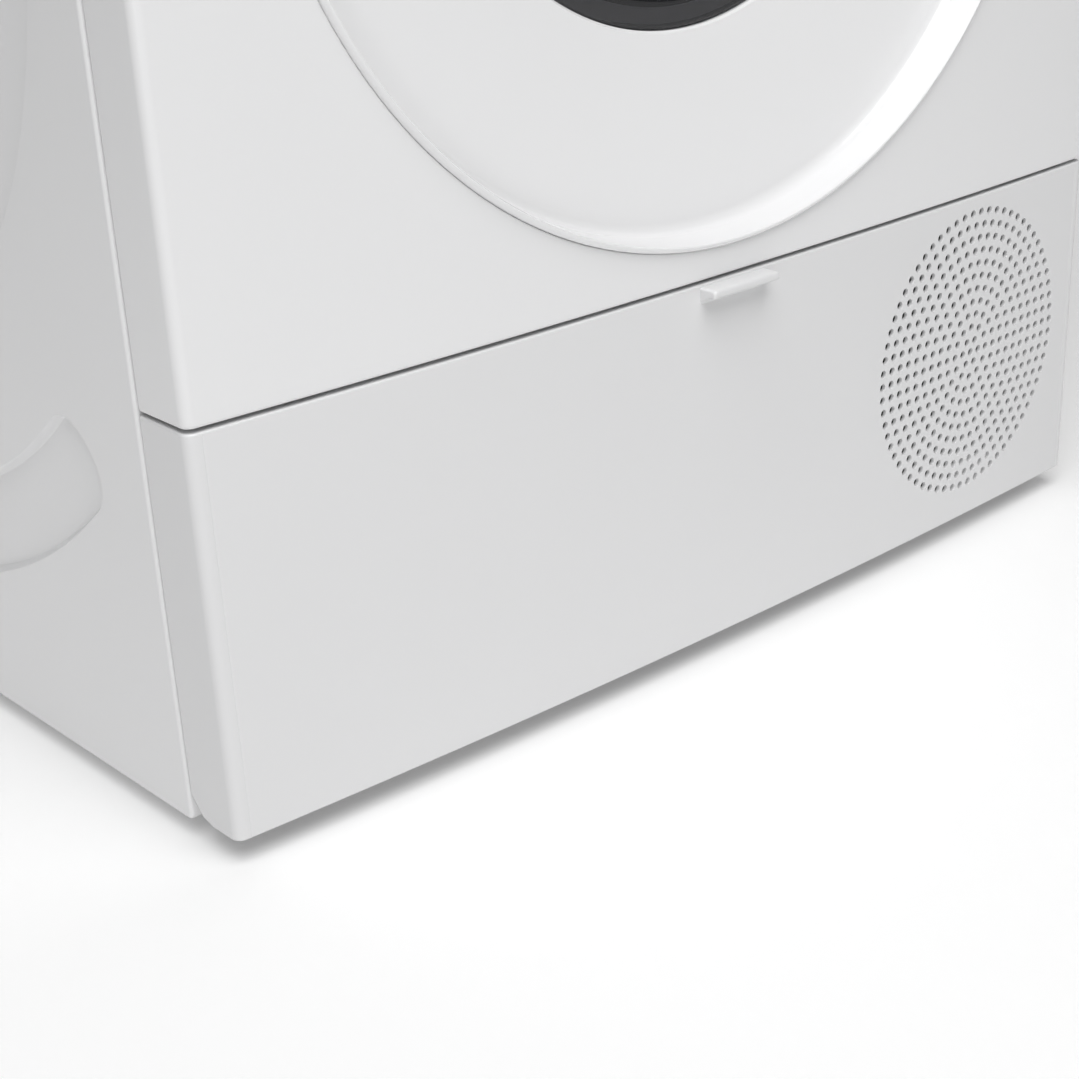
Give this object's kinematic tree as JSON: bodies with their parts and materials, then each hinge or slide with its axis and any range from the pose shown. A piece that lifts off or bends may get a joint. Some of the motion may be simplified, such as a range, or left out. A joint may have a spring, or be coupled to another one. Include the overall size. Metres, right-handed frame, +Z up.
{
  "type": "clothes dryer",
  "caption": "Free-standing heat-pump clothes dryer with a bowed front, round door, full-width service flap with a perforated grille, water container and turning drum.",
  "frame": {"origin": "on the floor under the middle of the machine", "axes": "+Z up, the front faces -Y, +X to the right seen from the front"},
  "size_m": [0.6, 0.6372, 0.85],
  "materials": {
    "white_enamel": "satin white enamel",
    "white_laminate": "white laminate",
    "white_plastic": "satin white moulding",
    "door_white": "gloss white moulding",
    "pale_plastic": "pale grey moulding",
    "dark_plastic": "dark grey moulding",
    "smoked_window": "smoked glass",
    "display_lens": "gloss black lens",
    "lamp_lens": "frosted lens",
    "circuit_board": "solder mask",
    "zinc_sheet": "zinc-coated sheet",
    "drum_steel": "stainless sheet",
    "turned_steel": "plain steel",
    "felt": "grey felt",
    "compressor_shell": "black paint",
    "rubber_black": "matt",
    "seal_grey": "matt",
    "idler_plastic": "glass-filled moulding",
    "coil_fins": "plain fins",
    "copper_pipe": "copper tube",
    "filter_foam": "open foam",
    "knob_plastic": "silver-grey moulding"
  },
  "bodies": {
    "cabinet": {"base_tray": "dark_plastic", "left_side_panel": "white_enamel", "right_side_panel": "white_enamel", "rear_panel": "zinc_sheet", "rear_duct_cover": "zinc_sheet", "top_crossbars": "zinc_sheet", "worktop": "white_laminate", "front_panel": "white_enamel", "control_fascia": "white_plastic", "display_window": "display_lens", "control_board": "circuit_board", "front_bulkhead": "pale_plastic", "rear_bulkhead": "zinc_sheet", "drum_seals": "felt", "motor_housing": "zinc_sheet", "fan_housing": "dark_plastic", "compressor": "compressor_shell", "compressor_mounts": "rubber_black", "evaporator": "coil_fins", "condenser": "coil_fins", "refrigerant_pipes": "copper_pipe", "condensate_pump": "pale_plastic", "drain_spigot": "dark_plastic", "cord_inlet": "dark_plastic", "drum_lamp": "lamp_lens", "door_catch": "dark_plastic", "door_hinge_plate": "turned_steel", "cooling_fan_housing": "dark_plastic", "heat_exchanger_cover": "pale_plastic", "heat_exchanger_filter": "filter_foam", "drive_belt": "rubber_black", "roller_axles": "turned_steel", "panel_screws": "turned_steel", "air_channel_lid": "dark_plastic", "front_air_duct": "dark_plastic", "rear_feet": "rubber_black"},
    "door": {"door_ring": "door_white", "door_inner_frame": "pale_plastic", "door_window": "smoked_window", "door_seal": "seal_grey", "door_hinge_arm": "turned_steel", "latch_hook": "turned_steel"},
    "flap": {"service_flap": "white_plastic"},
    "water_container": {"container_tub": "pale_plastic", "container_front": "white_plastic"},
    "dial": {"program_dial": "knob_plastic"},
    "power_key": {"power_button": "knob_plastic"},
    "start_key": {"start_button": "knob_plastic"},
    "drum": {"drum_shell": "drum_steel", "drum_lifters": "pale_plastic"},
    "left_roller": {"roller_left": "rubber_black"},
    "right_roller": {"roller_right": "rubber_black"},
    "rotor": {"motor_rotor": "turned_steel", "fan_wheel": "dark_plastic"},
    "tensioner": {"tensioner_arm": "turned_steel"},
    "idler": {"idler_pulley": "idler_plastic"},
    "cooling_fan": {"cooling_fan_blade": "dark_plastic"},
    "filter": {"lint_filter": "pale_plastic"},
    "left_foot": {"front_foot_left": "rubber_black"},
    "right_foot": {"front_foot_right": "rubber_black"}
  },
  "joints": [
    {"name": "door_swing", "type": "hinge", "parent": "cabinet", "child": "door", "pos_m": [0.253, -0.30854, 0.461], "axis": [0, 0, 1], "range_deg": [0, 160]},
    {"name": "flap_swing", "type": "hinge", "parent": "cabinet", "child": "flap", "pos_m": [0, -0.287, 0.029], "axis": [1, 0, 0], "range_deg": [0, 85]},
    {"name": "water_container_slide", "type": "slide", "parent": "cabinet", "child": "water_container", "axis": [0, -1, 0], "range_m": [0, 0.4]},
    {"name": "dial_turn", "type": "hinge", "parent": "cabinet", "child": "dial", "pos_m": [0, -0.31, 0.7695], "axis": [0, 1, 0], "continuous": true},
    {"name": "power_press", "type": "slide", "parent": "cabinet", "child": "power_key", "axis": [0, 1, 0], "range_m": [0, 0.0015], "stiffness_N_per_m": 800},
    {"name": "start_press", "type": "slide", "parent": "cabinet", "child": "start_key", "axis": [0, 1, 0], "range_m": [0, 0.0015], "stiffness_N_per_m": 800},
    {"name": "drum_spin", "type": "hinge", "parent": "cabinet", "child": "drum", "pos_m": [0, 0, 0.461], "axis": [0, 1, 0], "continuous": true},
    {"name": "left_roller_spin", "type": "hinge", "parent": "cabinet", "child": "left_roller", "pos_m": [-0.175, 0.207, 0.21108], "axis": [0, 1, 0], "continuous": true},
    {"name": "right_roller_spin", "type": "hinge", "parent": "cabinet", "child": "right_roller", "pos_m": [0.175, 0.207, 0.21108], "axis": [0, 1, 0], "continuous": true},
    {"name": "motor_spin", "type": "hinge", "parent": "cabinet", "child": "rotor", "pos_m": [0.03, 0.07, 0.092], "axis": [0, 1, 0], "continuous": true},
    {"name": "tensioner_swing", "type": "hinge", "parent": "cabinet", "child": "tensioner", "pos_m": [-0.025, -0.01, 0.046], "axis": [0, 1, 0], "range_deg": [-12, 0], "stiffness_Nm_per_rad": 2, "springref_deg": 11.46},
    {"name": "idler_spin", "type": "hinge", "parent": "tensioner", "child": "idler", "pos_m": [-0.04155, -0.002, 0.11435], "axis": [0, 1, 0], "continuous": true},
    {"name": "cooling_fan_spin", "type": "hinge", "parent": "cabinet", "child": "cooling_fan", "pos_m": [0.196, -0.2325, 0.1115], "axis": [0, 1, 0], "continuous": true},
    {"name": "lint_filter_slide", "type": "slide", "parent": "cabinet", "child": "filter", "axis": [0, 0, 1], "range_m": [0, 0.04]},
    {"name": "left_foot_level", "type": "slide", "parent": "cabinet", "child": "left_foot", "axis": [0, 0, 1], "range_m": [-0.012, 0]},
    {"name": "right_foot_level", "type": "slide", "parent": "cabinet", "child": "right_foot", "axis": [0, 0, 1], "range_m": [-0.012, 0]}
  ],
  "couplings": [
    {"joint": "left_roller_spin", "follows": "drum_spin", "ratio": -11.2},
    {"joint": "right_roller_spin", "follows": "drum_spin", "ratio": -11.2},
    {"joint": "motor_spin", "follows": "drum_spin", "ratio": 31},
    {"joint": "idler_spin", "follows": "drum_spin", "ratio": -17.5}
  ]
}
